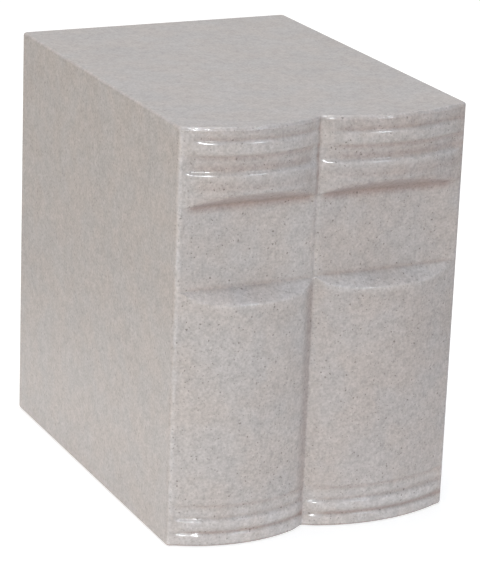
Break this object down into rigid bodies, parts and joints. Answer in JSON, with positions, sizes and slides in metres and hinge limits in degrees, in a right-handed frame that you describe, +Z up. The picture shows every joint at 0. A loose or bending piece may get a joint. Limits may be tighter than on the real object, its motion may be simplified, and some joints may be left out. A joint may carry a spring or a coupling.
{
  "type": "book-shaped cremation urn",
  "caption": "Cremation urn cast as closed books side by side, with bowed, banded spines, flat label panels, a hollow chamber and a base plate let into the underside.",
  "frame": {"origin": "centre of the footprint's bounding rectangle, on the surface that the urn stands on", "axes": "+Z up, -Y out of the spines, +X towards the thicker book's cover"},
  "size_m": [0.1746, 0.241, 0.24],
  "materials": {
    "cast_stone": "gloss",
    "base_stone": "satin"
  },
  "bodies": {
    "root": {"urn_body": "cast_stone", "base_plate": "base_stone"}
  },
  "joints": []
}
